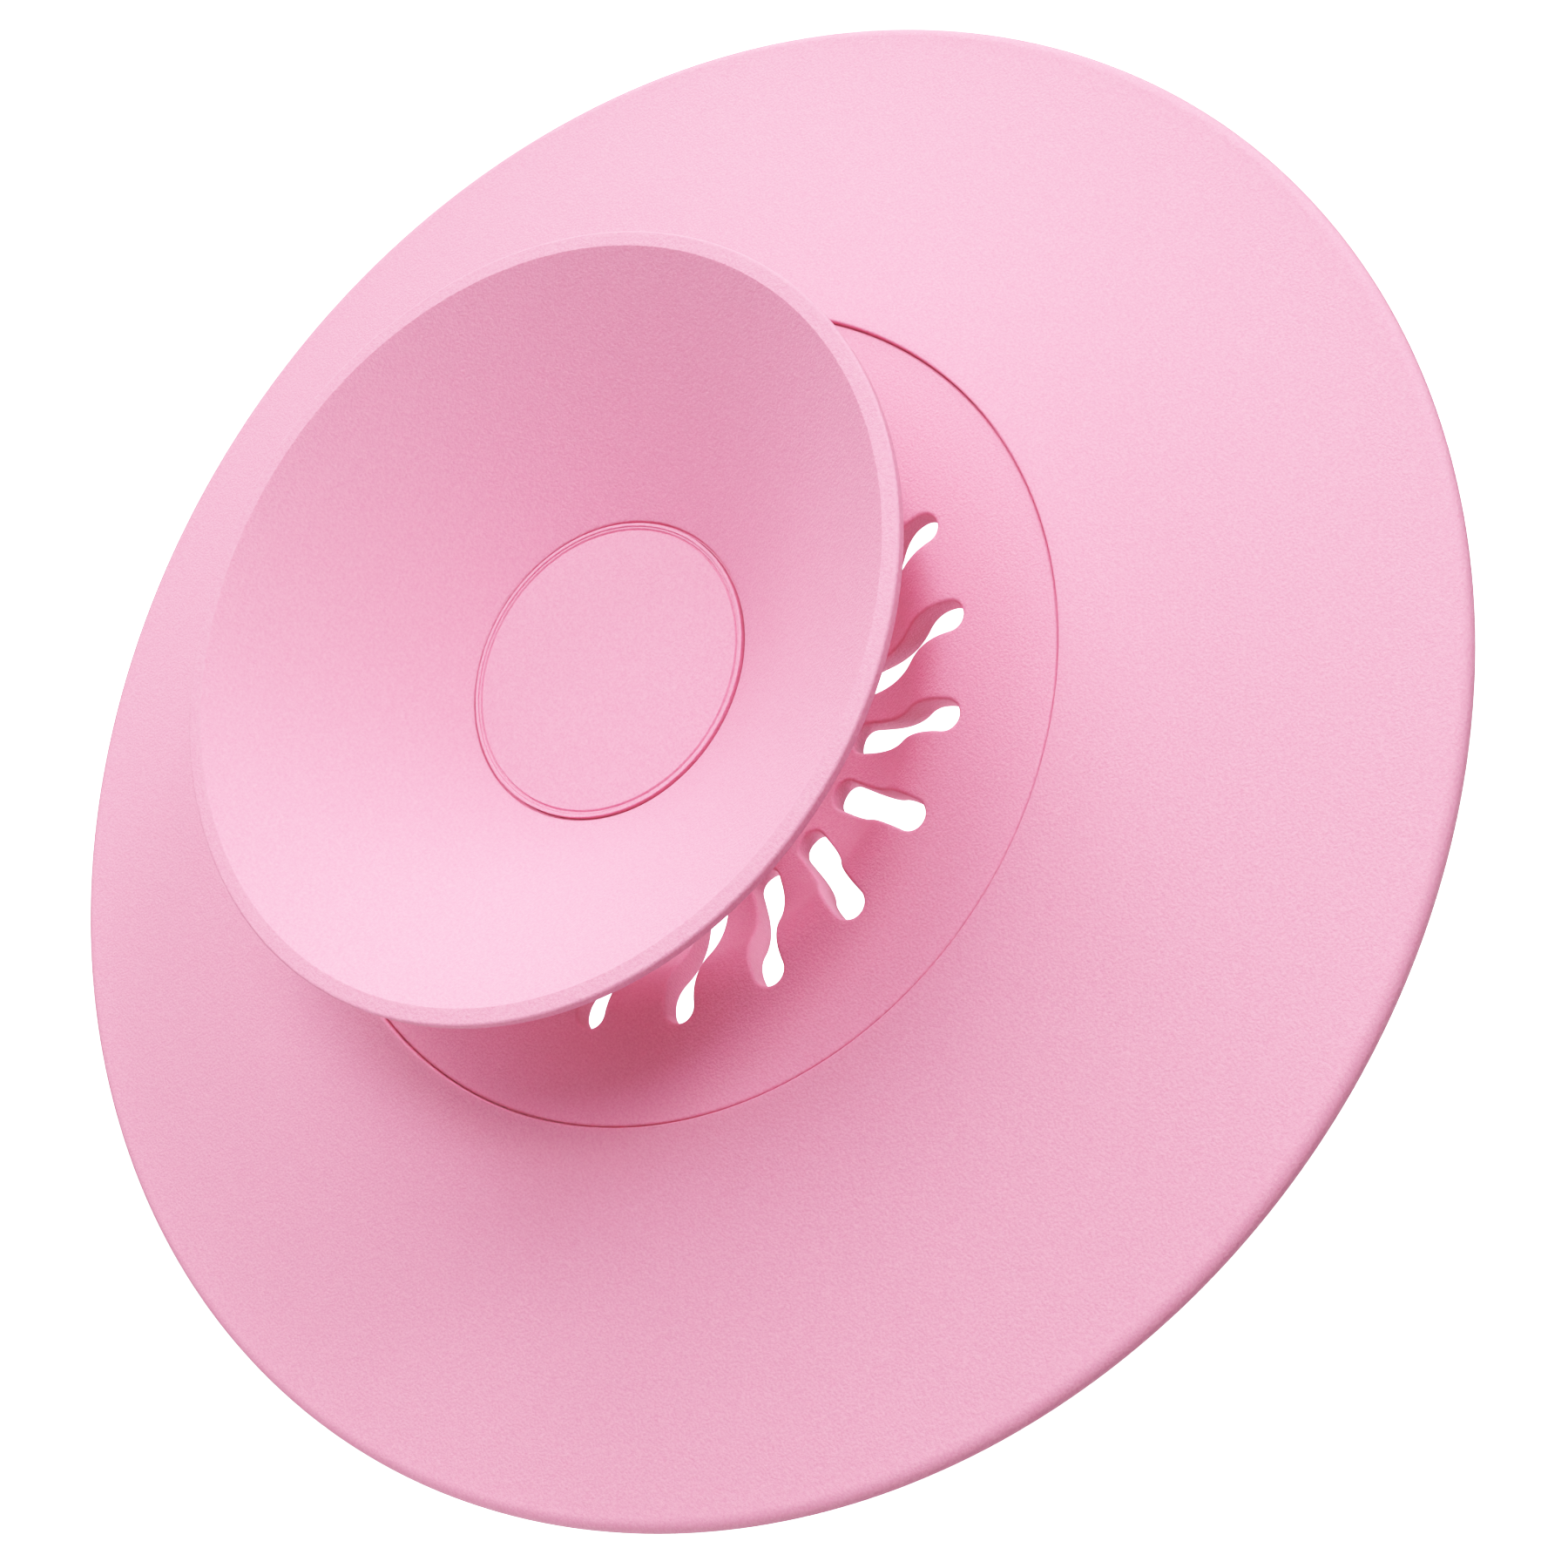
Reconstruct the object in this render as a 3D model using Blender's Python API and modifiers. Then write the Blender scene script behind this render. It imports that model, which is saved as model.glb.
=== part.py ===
"""Floor drain cover: a wide soft brim, a slotted strainer dish and a lift-up cup that closes it.

Metres, +Z up. The origin is the centre of the brim's flat underside, which lies in the plane of
the floor round the drain. The cup is modelled pulled up, with the drain open.
"""

import math

import bmesh
import bpy
import numpy as np

# Clearances, cutting and mesh fineness
seat_gap = 0.0003
running_gap = 0.0002
cut_overrun = 0.002
merge_distance = 0.00001
slope_probe = 0.00001
large_turn_steps = 60
small_turn_steps = 36
round_steps = 2

# Brim: the disc that lies on the floor
brim_radius = 0.075
brim_edge_thickness = 0.0025
brim_crown_height = 0.0059
brim_crown_power = 1.5
brim_crown_steps = 5
brim_web_thickness = 0.0017
brim_web_reach = 0.0021
brim_lip_round = 0.0006
brim_rib_count = 3
brim_rib_first_radius = 0.050
brim_rib_spacing = 0.0065
brim_rib_groove_width = 0.0018
brim_rib_groove_depth = 0.0005

# Seam between brim and hub, with the tongue that the brim grips
seam_radius = 0.0406
tongue_reach = 0.002
tongue_thickness = 0.0016
tongue_land_width = 0.0033

# Strainer hub: level land, S-shaped ramp, falling floor and a well in the middle
hub_land_rise = 0.00006
hub_wall = 0.0023
hub_edge_round = 0.0005
dish_shoulder_radius = 0.0274
dish_ramp_width = 0.0054
dish_depth = 0.00704
dish_floor_slope = 0.305
dish_ease_share = 0.48
well_edge_radius = 0.0156
well_wall_draft = 0.0009
well_floor_depth = 0.01046
ramp_steps = 8

# Slots through the dish
slot_count = 20
slot_first_angle = 6.86
slot_width = 0.00294
slot_inner_radius = 0.01667
slot_outer_radius = 0.03164
slot_end_steps = 6

# Valve cup
cup_mouth_radius = 0.0352
cup_rim_width = 0.00136
cup_rim_round = 0.0004
cup_wall = 0.0016
cup_wall_slope = 0.70
cup_floor_thickness = 0.0012
cup_floor_corner = 0.0011
seal_lip_width = 0.0008
seal_lip_root_width = 0.0013
seal_lip_margin = 0.0004

# Centre cap
cap_seat_radius = 0.0146
cap_seat_depth = 0.00122
cap_thickness = 0.0010
cap_bead_width = 0.0009
cap_bead_height = 0.00015
cap_crease_depth = 0.00015
cap_pin_radius = 0.0019
cap_pin_length = 0.0062
cap_pin_chamfer = 0.0004

# Stem, guide bush, friction ring and stop clip
stem_radius = 0.0040
stem_groove_depth = 0.0007
stem_foot_length = 0.0017
stem_chamfer = 0.0007
bush_radius = 0.0072
bush_head_radius = 0.0082
bush_head_thickness = 0.0008
bush_head_step = 0.0011
bush_flange_radius = 0.0100
bush_flange_thickness = 0.0012
bush_guide_length = 0.0093
bush_chamfer = 0.0005
ring_section = 0.0017
ring_groove_height = 0.0023
ring_drop_share = 0.45
clip_radius = 0.0065
clip_thickness = 0.0010
clip_mouth_width = 0.0046

# Travel of the valve, and what is left under the cup's floor when it is shut
lift_travel = 0.0170
shut_floor_gap = 0.00055

# Radii and heights that follow from the values above
brim_opening_radius = seam_radius - brim_web_reach
dish_foot_radius = dish_shoulder_radius - dish_ramp_width
well_floor_radius = well_edge_radius - well_wall_draft
cup_rim_radius = cup_mouth_radius + cup_rim_width
cup_cone_height = cup_wall_slope * (cup_mouth_radius - cap_seat_radius)
cup_height = cup_floor_thickness + cap_seat_depth + cup_cone_height
hub_land_height = brim_crown_height + hub_land_rise
well_floor_height = hub_land_height - well_floor_depth
cup_floor_height = well_floor_height + shut_floor_gap + lift_travel
cup_vertical_wall = cup_wall * math.hypot(1, cup_wall_slope)
cap_seat_height = cup_floor_height + cup_floor_thickness
cap_underside_height = cap_seat_height + seat_gap
stem_top_height = cup_floor_height - seat_gap
bush_bore_radius = stem_radius + running_gap
bush_top_height = well_floor_height - bush_head_step + seat_gap + bush_head_thickness
bush_flange_top_height = well_floor_height - hub_wall - seat_gap
bush_foot_height = bush_flange_top_height - bush_flange_thickness - bush_guide_length
ring_groove_radius = bush_bore_radius + ring_section + seat_gap
ring_height = bush_flange_top_height - bush_flange_thickness - ring_drop_share * bush_guide_length
clip_top_height = bush_foot_height - seat_gap
clip_groove_radius = stem_radius - stem_groove_depth
stem_foot_height = clip_top_height - clip_thickness - seat_gap - stem_foot_length


def clear_scene():
    """Remove every object, so that the part starts from nothing."""
    for thing in list(bpy.data.objects):
        bpy.data.objects.remove(thing, do_unlink=True)


def new_collection(name):
    collection = bpy.data.collections.new(name)
    bpy.context.scene.collection.children.link(collection)
    return collection


def linear(srgb_hex):
    """Turn a hex sRGB colour into linear red, green, blue and full alpha."""
    channels = [int(srgb_hex[start:start + 2], 16) / 255 for start in (0, 2, 4)]
    return [c / 12.92 if c <= 0.04045 else ((c + 0.055) / 1.055) ** 2.4 for c in channels] + [1]


def plain_material(name, srgb_hex, roughness, metallic=0.0):
    material = bpy.data.materials.new(name)
    material.use_nodes = True
    shader = material.node_tree.nodes["Principled BSDF"]
    shader.inputs["Base Color"].default_value = linear(srgb_hex)
    shader.inputs["Roughness"].default_value = roughness
    shader.inputs["Metallic"].default_value = metallic
    return material


def new_object(name, mesh, collection, material=None, height=0.0):
    thing = bpy.data.objects.new(name, mesh)
    collection.objects.link(thing)
    thing.location.z = height
    if material:
        mesh.materials.append(material)
    return thing


def arc(centre_x, centre_z, radius, start, end, steps=round_steps):
    """Points along an arc of the given radius, from one angle in degrees to another."""
    angles = np.radians(np.linspace(start, end, steps + 1))
    return [(centre_x + radius * math.cos(a), centre_z + radius * math.sin(a)) for a in angles]


def turned(name, profile, steps, collection, material, height, closed=True):
    """Turn a profile of (radius, height) points about +Z.

    The points run down the outer side. A closed profile makes a ring, and an open one starts and
    ends on the axis.
    """
    mesh = bpy.data.meshes.new(name)
    count = len(profile)
    edges = [(i, i + 1) for i in range(count - 1)]
    if closed:
        edges.append((count - 1, 0))
    mesh.from_pydata([(x, 0, z) for x, z in profile], edges, [])
    thing = new_object(name, mesh, collection, material, height)
    screw = thing.modifiers.new("turn", "SCREW")
    screw.axis = "Z"
    screw.angle = 2 * math.pi
    screw.steps = steps
    screw.render_steps = steps
    screw.use_merge_vertices = True
    screw.merge_threshold = merge_distance
    screw.use_smooth_shade = True
    return thing


def cut(thing, cutter, name):
    boolean = thing.modifiers.new(name, "BOOLEAN")
    boolean.operation = "DIFFERENCE"
    boolean.solver = "EXACT"
    boolean.object = cutter
    return boolean


def as_cutter(thing):
    thing.hide_render = True
    thing.display_type = "WIRE"
    return thing


def brim_top(radius):
    """Height of the brim's top face: a crown that falls ever more gently towards the edge."""
    across = (brim_radius - radius) / (brim_radius - seam_radius)
    rise = brim_crown_height - brim_edge_thickness
    return brim_edge_thickness + rise * max(across, 0) ** brim_crown_power


def make_brim(collection, material):
    """Soft disc with a full-round edge, a grip groove for the hub and sealing ribs underneath."""
    half = brim_edge_thickness / 2
    lip_radius = seam_radius + brim_lip_round
    tongue_top = hub_tongue_top()
    groove_radius = seam_radius + tongue_reach
    profile = arc(lip_radius, brim_crown_height - brim_lip_round, brim_lip_round, 180, 90)
    crown = np.linspace(lip_radius, brim_radius - half, brim_crown_steps + 1)
    profile += [(radius, brim_top(radius)) for radius in crown[1:-1]]
    profile += arc(brim_radius - half, half, half, 90, -90, 2 * round_steps)
    for index in reversed(range(brim_rib_count)):
        middle = brim_rib_first_radius + index * brim_rib_spacing
        wide = brim_rib_groove_width / 2
        narrow = wide - brim_rib_groove_depth
        profile.append((middle + wide, 0))
        profile.append((middle + narrow, brim_rib_groove_depth))
        profile.append((middle - narrow, brim_rib_groove_depth))
        profile.append((middle - wide, 0))
    profile.append((brim_opening_radius, 0))
    profile.append((brim_opening_radius, brim_web_thickness))
    profile.append((groove_radius, brim_web_thickness))
    profile.append((groove_radius, tongue_top + seat_gap))
    profile.append((seam_radius, tongue_top + seat_gap))
    return turned("brim", profile, large_turn_steps, collection, material, 0)


def hub_tongue_top():
    """Top face of the tongue, which stands on the brim's web."""
    return brim_web_thickness + seat_gap + tongue_thickness


def eased_corner(distance, slope_before, slope_after, ease):
    """Height beside a corner between two straight runs, which a parabola joins within the ease."""
    if distance <= -ease:
        return slope_before * distance
    if distance >= ease:
        return slope_after * distance
    bend = (slope_after - slope_before) * (distance + ease) ** 2 / (4 * ease)
    return slope_before * distance + bend


def hub_top(radius):
    """Height of the hub's top face: falling floor, ramp and level land, with eased corners."""
    ramp_width = dish_shoulder_radius - dish_foot_radius
    ramp_slope = dish_depth / ramp_width
    ease = dish_ease_share * ramp_width
    if radius < dish_foot_radius + ramp_width / 2:
        from_foot = radius - dish_foot_radius
        foot = hub_land_height - dish_depth
        return foot + eased_corner(from_foot, dish_floor_slope, ramp_slope, ease)
    from_shoulder = radius - dish_shoulder_radius
    return hub_land_height + eased_corner(from_shoulder, ramp_slope, 0, ease)


def hub_underside(radius):
    """The point one wall below the top face at this radius, square to it."""
    slope = (hub_top(radius + slope_probe) - hub_top(radius - slope_probe)) / (2 * slope_probe)
    length = math.hypot(1, slope)
    return radius + hub_wall * slope / length, hub_top(radius) - hub_wall / length


def make_hub(collection, cutters, material):
    """Slotted dish with a gripped edge, a shallow well and a stepped hole for the guide bush."""
    edge_radius = seam_radius - seat_gap
    tongue_radius = edge_radius + tongue_reach
    tongue_top = hub_tongue_top()
    tongue_foot = brim_web_thickness + seat_gap
    tongue_back = edge_radius - tongue_land_width
    hole_radius = bush_radius + seat_gap
    step_radius = bush_head_radius + seat_gap
    ramp_outside = dish_shoulder_radius + dish_ease_share * (dish_shoulder_radius - dish_foot_radius)
    ramp_inside = dish_foot_radius - dish_ease_share * (dish_shoulder_radius - dish_foot_radius)
    ramp = np.linspace(ramp_inside, ramp_outside, ramp_steps + 1)
    well_slope = (well_edge_radius - well_floor_radius) / (hub_top(well_edge_radius) - well_floor_height)
    well_offset = hub_wall * math.tan(math.atan(well_slope) / 2)

    profile = [(step_radius, well_floor_height), (well_floor_radius, well_floor_height)]
    profile.append((well_edge_radius, hub_top(well_edge_radius)))
    profile += [(radius, hub_top(radius)) for radius in ramp]
    corner = edge_radius - hub_edge_round
    profile += arc(corner, hub_land_height - hub_edge_round, hub_edge_round, 90, 0)
    profile += [(edge_radius, tongue_top), (tongue_radius, tongue_top), (tongue_radius, tongue_foot)]
    profile += [(tongue_back, tongue_foot), (tongue_back, hub_land_height - hub_wall)]
    profile += [hub_underside(radius) for radius in reversed(ramp[::2])]
    profile.append(hub_underside(well_edge_radius + well_offset))
    profile.append((well_floor_radius - well_offset, well_floor_height - hub_wall))
    profile.append((hole_radius, well_floor_height - hub_wall))
    profile.append((hole_radius, well_floor_height - bush_head_step))
    profile.append((step_radius, well_floor_height - bush_head_step))
    hub = turned("strainer_hub", profile, large_turn_steps, collection, material, 0)
    cut(hub, make_slot_cutter(cutters), "slots")
    return hub


def make_slot_cutter(cutters):
    """A ring of upright bars with round ends: each is a cylinder pulled apart at its middle."""
    mesh = bpy.data.meshes.new("slot_cutter")
    bars = bmesh.new()
    floor = well_floor_height - hub_wall - cut_overrun
    top = hub_land_height + cut_overrun
    half_width = slot_width / 2
    straight = slot_outer_radius - slot_inner_radius - slot_width
    for index in range(slot_count):
        made = bmesh.ops.create_cone(
            bars, cap_ends=True, segments=2 * slot_end_steps, radius1=half_width,
            radius2=half_width, depth=top - floor)
        half_step = math.pi / (2 * slot_end_steps)
        turn = math.radians(slot_first_angle) + index * 2 * math.pi / slot_count
        for vertex in made["verts"]:
            angle = math.atan2(vertex.co.y, vertex.co.x) + half_step
            across = half_width * math.sin(angle)
            along = half_width * math.cos(angle)
            along += slot_inner_radius + half_width + (straight if along > 0 else 0)
            vertex.co.x = along * math.cos(turn) - across * math.sin(turn)
            vertex.co.y = along * math.sin(turn) + across * math.cos(turn)
            vertex.co.z += (top + floor) / 2
    bars.to_mesh(mesh)
    bars.free()
    return as_cutter(new_object("slot_cutter", mesh, cutters))


def cup_inside(radius):
    """Height of the cup's inner face above the underside of its floor: a straight cone."""
    return cup_height - cup_wall_slope * (cup_mouth_radius - radius)


def make_cup(collection, material):
    """Conical cup with a flat-topped rim, a seat for the cap and a lip that shuts off the slots."""
    lip_radius = slot_outer_radius + seal_lip_margin + seal_lip_width / 2
    lip_tip = hub_land_height + seat_gap + lift_travel - cup_floor_height
    lip_half = seal_lip_width / 2
    root_half = seal_lip_root_width / 2
    pin_hole_radius = cap_pin_radius + seat_gap
    corner_radius = cap_seat_radius + seat_gap
    corner_height = cup_inside(corner_radius) - cup_vertical_wall

    def outside(radius):
        return radius, cup_inside(radius) - cup_vertical_wall

    profile = [(cup_mouth_radius, cup_height)]
    profile += arc(cup_rim_radius - cup_rim_round, cup_height - cup_rim_round, cup_rim_round, 90, 0)
    profile.append(outside(cup_rim_radius))
    profile.append(outside(lip_radius + root_half))
    profile += arc(lip_radius, lip_tip + lip_half, lip_half, 0, -180, 2 * round_steps)
    profile.append(outside(lip_radius - root_half))
    profile.append((corner_radius, corner_height))
    profile.append((corner_radius - cup_floor_corner / 2, corner_height / 4))
    profile.append((corner_radius - cup_floor_corner, 0))
    profile.append((pin_hole_radius, 0))
    profile.append((pin_hole_radius, cup_floor_thickness))
    profile.append((cap_seat_radius, cup_floor_thickness))
    profile.append((cap_seat_radius, cup_inside(cap_seat_radius)))
    return turned("valve_cup", profile, large_turn_steps, collection, material, cup_floor_height)


def make_cap(collection, material):
    """Flat button with a crease and a round bead at its edge, and the pin that holds the cup."""
    edge = cap_seat_radius - seat_gap
    bead_middle = edge - cap_bead_width / 2
    bead_foot = edge - cap_bead_width
    crease_half = cap_crease_depth
    profile = [(0, cap_thickness), (bead_foot - 2 * crease_half, cap_thickness)]
    profile.append((bead_foot, cap_thickness - cap_crease_depth))
    profile.append((bead_middle - cap_bead_width / 4, cap_thickness + cap_bead_height / 2))
    profile.append((bead_middle, cap_thickness + cap_bead_height))
    profile.append((bead_middle + cap_bead_width / 4, cap_thickness + cap_bead_height / 2))
    profile.append((edge, cap_thickness - 2 * cap_crease_depth))
    profile.append((edge, 0))
    profile.append((cap_pin_radius, 0))
    profile.append((cap_pin_radius, cap_pin_chamfer - cap_pin_length))
    profile.append((cap_pin_radius - cap_pin_chamfer, -cap_pin_length))
    profile.append((0, -cap_pin_length))
    return turned("centre_cap", profile, large_turn_steps, collection, material,
                  cap_underside_height, closed=False)


def make_stem(collection, material):
    """Round rod with a socket for the cap's pin, a groove for the clip and a tapered foot."""
    socket_radius = cap_pin_radius + seat_gap
    socket_floor = cap_underside_height - cap_pin_length - seat_gap - stem_top_height
    groove_top = clip_top_height + seat_gap - stem_top_height
    groove_foot = groove_top - clip_thickness - 2 * seat_gap
    foot = stem_foot_height - stem_top_height
    profile = [(0, socket_floor), (socket_radius, socket_floor), (socket_radius, 0)]
    profile += [(stem_radius - seat_gap, 0), (stem_radius, -seat_gap)]
    profile += [(stem_radius, groove_top), (clip_groove_radius, groove_top)]
    profile += [(clip_groove_radius, groove_foot), (stem_radius, groove_foot)]
    profile += [(stem_radius, foot + stem_chamfer), (stem_radius - stem_chamfer, foot), (0, foot)]
    return turned("valve_stem", profile, small_turn_steps, collection, material,
                  stem_top_height, closed=False)


def make_bush(collection, material):
    """Sleeve that snaps up through the hub's floor, with a head, a flange and a ring groove."""
    head_foot = -bush_head_thickness
    flange_top = bush_flange_top_height - bush_top_height
    flange_foot = flange_top - bush_flange_thickness
    foot = bush_foot_height - bush_top_height
    groove_middle = ring_height - bush_top_height
    groove_half = ring_groove_height / 2
    bore = bush_bore_radius
    profile = [(bore, 0), (bush_head_radius - bush_chamfer, 0)]
    profile += [(bush_head_radius, -bush_chamfer), (bush_head_radius, head_foot)]
    profile += [(bush_radius, head_foot), (bush_radius, flange_top)]
    profile += [(bush_flange_radius, flange_top), (bush_flange_radius, flange_foot)]
    profile += [(bush_radius, flange_foot), (bush_radius, foot + bush_chamfer)]
    profile += [(bush_radius - bush_chamfer, foot), (bore, foot)]
    profile += [(bore, groove_middle - groove_half), (ring_groove_radius, groove_middle - groove_half)]
    profile += [(ring_groove_radius, groove_middle + groove_half), (bore, groove_middle + groove_half)]
    return turned("guide_bush", profile, small_turn_steps, collection, material, bush_top_height)


def make_ring(collection, material):
    """Round-section ring in the bush's groove, close round the stem."""
    half = ring_section / 2
    profile = arc(stem_radius + running_gap + half, 0, half, 90, -270, 3 * round_steps)[:-1]
    return turned("friction_ring", profile, small_turn_steps, collection, material, ring_height)


def make_clip(collection, cutters, material):
    """Open ring pushed from the side into the stem's groove."""
    inner = clip_groove_radius + seat_gap
    profile = [(inner, 0), (clip_radius, 0), (clip_radius, -clip_thickness), (inner, -clip_thickness)]
    clip = turned("stop_clip", profile, small_turn_steps, collection, material, clip_top_height)
    mesh = bpy.data.meshes.new("clip_mouth_cutter")
    block = bmesh.new()
    bmesh.ops.create_cube(block, size=1)
    reach = clip_radius + cut_overrun
    bmesh.ops.scale(block, vec=(reach, clip_mouth_width, 2 * clip_thickness), verts=block.verts)
    block.to_mesh(mesh)
    block.free()
    mouth = as_cutter(new_object("clip_mouth_cutter", mesh, cutters))
    mouth.location = (-reach / 2, 0, clip_top_height - clip_thickness / 2)
    cut(clip, mouth, "mouth")
    return clip


def carry(pieces, name, height, collection):
    """Parent pieces to an empty on the valve's axis, leaving them where they are."""
    axis = bpy.data.objects.new(name, None)
    collection.objects.link(axis)
    axis.location.z = height
    for piece in pieces:
        piece.parent = axis
        piece.location.z -= height
    return axis


def build():
    clear_scene()
    parts = new_collection("floor_drain_cover")
    cutters = new_collection("cutters")
    soft_pink = plain_material("pink_silicone", "F3BFD6", 0.55)
    hub_pink = plain_material("pink_silicone_hub", "F0B8D1", 0.55)
    cup_pink = plain_material("pink_silicone_cup", "F5C4DA", 0.55)
    cap_pink = plain_material("pink_silicone_cap", "F3BFD6", 0.55)
    stem_white = plain_material("natural_nylon", "EFEBE4", 0.40)
    bush_white = plain_material("white_acetal", "F4F3F0", 0.35)
    ring_dark = plain_material("black_nitrile", "26262A", 0.60)
    clip_steel = plain_material("stainless_steel", "C9CACC", 0.30, 1.0)

    make_brim(parts, soft_pink)
    make_hub(parts, cutters, hub_pink)
    make_bush(parts, bush_white)
    ring = make_ring(parts, ring_dark)
    valve = [make_cup(parts, cup_pink), make_cap(parts, cap_pink)]
    valve += [make_stem(parts, stem_white), make_clip(parts, cutters, clip_steel)]
    turn_axis = carry([ring], "valve_turn_axis", ring_height, parts)
    lift_axis = carry(valve, "valve_lift_axis", cup_floor_height, parts)
    lift_axis.parent = turn_axis
    lift_axis.location.z -= ring_height


build()
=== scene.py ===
import math

import bmesh
import bpy
import numpy as np
from mathutils import Matrix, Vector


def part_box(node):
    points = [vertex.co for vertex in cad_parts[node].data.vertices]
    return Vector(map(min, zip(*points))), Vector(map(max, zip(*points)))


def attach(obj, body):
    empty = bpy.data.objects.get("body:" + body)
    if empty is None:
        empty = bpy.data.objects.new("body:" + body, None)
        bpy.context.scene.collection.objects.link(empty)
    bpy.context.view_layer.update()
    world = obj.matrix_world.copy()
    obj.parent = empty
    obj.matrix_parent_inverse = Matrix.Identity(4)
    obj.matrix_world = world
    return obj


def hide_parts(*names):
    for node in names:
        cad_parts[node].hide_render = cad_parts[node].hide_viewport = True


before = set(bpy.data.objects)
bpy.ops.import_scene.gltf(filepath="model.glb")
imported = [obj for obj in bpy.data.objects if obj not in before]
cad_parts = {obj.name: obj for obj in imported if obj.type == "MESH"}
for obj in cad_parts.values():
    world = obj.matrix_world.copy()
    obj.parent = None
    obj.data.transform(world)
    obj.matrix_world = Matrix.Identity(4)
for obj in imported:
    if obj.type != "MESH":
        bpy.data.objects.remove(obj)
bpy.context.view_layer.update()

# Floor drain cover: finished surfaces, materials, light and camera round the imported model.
#
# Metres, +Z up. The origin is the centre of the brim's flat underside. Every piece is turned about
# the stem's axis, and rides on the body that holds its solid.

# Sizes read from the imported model
brim_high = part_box("brim")[1]
hub_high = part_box("strainer_hub")[1]
cup_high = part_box("valve_cup")[1]
cap_low, cap_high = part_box("centre_cap")
stem_low, stem_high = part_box("valve_stem")
bush_low, bush_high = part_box("guide_bush")
ring_low, ring_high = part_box("friction_ring")
clip_low, clip_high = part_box("stop_clip")

brim_radius = brim_high.x
tongue_radius = hub_high.x
land_height = hub_high.z
cup_rim_radius = cup_high.x
cup_rim_height = cup_high.z

# One millimetre in metres
mm = 0.001

# Clearances
seat_gap = 0.3 * mm
running_gap = 0.2 * mm

# Fine grooves that show as dark lines, at the seam and round the cap
line_depth = 0.40 * mm
line_floor_gap = 0.04 * mm
line_round = 0.03 * mm

# Roundings that several pieces share
crisp_round = 0.1 * mm
fine_round = 0.15 * mm
small_round = 0.2 * mm
moulded_round = 0.25 * mm
soft_round = 0.3 * mm
full_round = 0.4 * mm

# Mesh fineness
merge_distance = 0.002 * mm
support_distance = 0.12 * mm
arc_steps = 6
crown_steps = 60
tip_steps = 16
section_steps = 32
clip_steps = 97
large_turn_steps = 360
small_turn_steps = 120
slot_root_steps = 12
slot_side_steps = 32
slot_across_steps = 9
slot_wall_steps = 5
slope_samples = 400
slope_probe = 0.01 * mm

# Brim
brim_edge_thickness = 2.5 * mm
brim_edge_round = 1.15 * mm
brim_crown_power = 1.5
brim_web_thickness = 1.7 * mm
brim_web_reach = 2.1 * mm
brim_lip_round = 0.20 * mm
brim_groove_count = 3
brim_groove_first_radius = 50.0 * mm
brim_groove_spacing = 6.5 * mm
brim_groove_width = 1.8 * mm
brim_groove_depth = 0.5 * mm

# Seam between brim and hub
tongue_reach = 2.0 * mm
tongue_thickness = 1.6 * mm
tongue_land_width = 3.3 * mm
seam_radius = tongue_radius - tongue_reach + seat_gap
seam_gap = 0.14 * mm
seam_step = 0.34 * mm
lip_height = land_height + seam_step

# Strainer hub
hub_wall = 2.3 * mm
hub_edge_round = 0.30 * mm
dish_shoulder_radius = 27.4 * mm
dish_ramp_width = 5.4 * mm
dish_foot_radius = dish_shoulder_radius - dish_ramp_width
dish_depth = 7.04 * mm
dish_floor_slope = 0.305
dish_ease = 0.48 * dish_ramp_width
well_edge_radius = 15.6 * mm
well_lean = 0.9 * mm
well_floor_radius = well_edge_radius - well_lean
well_floor_height = land_height - 10.46 * mm
well_foot_round = 0.6 * mm

# Slots
slot_count = 20
slot_first_angle = math.radians(6.86)
slot_width = 2.94 * mm
slot_inner_radius = 16.67 * mm
slot_outer_radius = 31.64 * mm
slot_top_round = 0.30 * mm
slot_foot_round = 0.20 * mm
slot_end_steps = large_turn_steps // slot_count
sector_inner_radius = (well_edge_radius + slot_inner_radius) / 2
sector_outer_radius = slot_outer_radius + 1.5 * mm

# Valve cup
cup_mouth_radius = cup_rim_radius - 1.50 * mm
cup_mouth_round = 0.12 * mm
cup_rim_round = 0.26 * mm
cup_rim_foot_round = 0.35 * mm
cup_wall_slope = 0.705
cup_wall = 1.70 * mm
cup_wall_upright = cup_wall * math.hypot(1, cup_wall_slope)
cup_floor_height = cup_rim_height - 16.84 * mm
cup_floor_thickness = 1.2 * mm
cup_corner_radius = cap_high.x + 2 * seat_gap
cup_floor_corner = 1.1 * mm
cup_floor_round = 0.5 * mm
seal_lip_half = 0.4 * mm
seal_lip_root_half = 0.65 * mm
seal_lip_radius = slot_outer_radius + 0.4 * mm + seal_lip_half
lift_travel = 17.0 * mm

# Centre cap
cap_drop = 0.10 * mm
cap_bead_width = 0.28 * mm
cap_bead_height = 0.15 * mm
cap_bead_top = cap_high.z - cap_drop
cap_top_height = cap_bead_top - cap_bead_height
cap_bead_inner_round = 0.06 * mm
cap_bead_outer_round = 0.07 * mm
cap_ledge_width = 0.28 * mm
inner_crease_half = 0.13 * mm
inner_crease_depth = 0.26 * mm
outer_crease_half = 0.04 * mm
outer_crease_depth = 0.09 * mm
outer_crease_round = 0.02 * mm
cap_crevice = 0.24 * mm
cap_mouth_round = 0.28 * mm
cap_groove_round = 0.05 * mm
cap_underside_height = cup_floor_height + cup_floor_thickness + seat_gap
cap_pin_radius = 1.9 * mm

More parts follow.
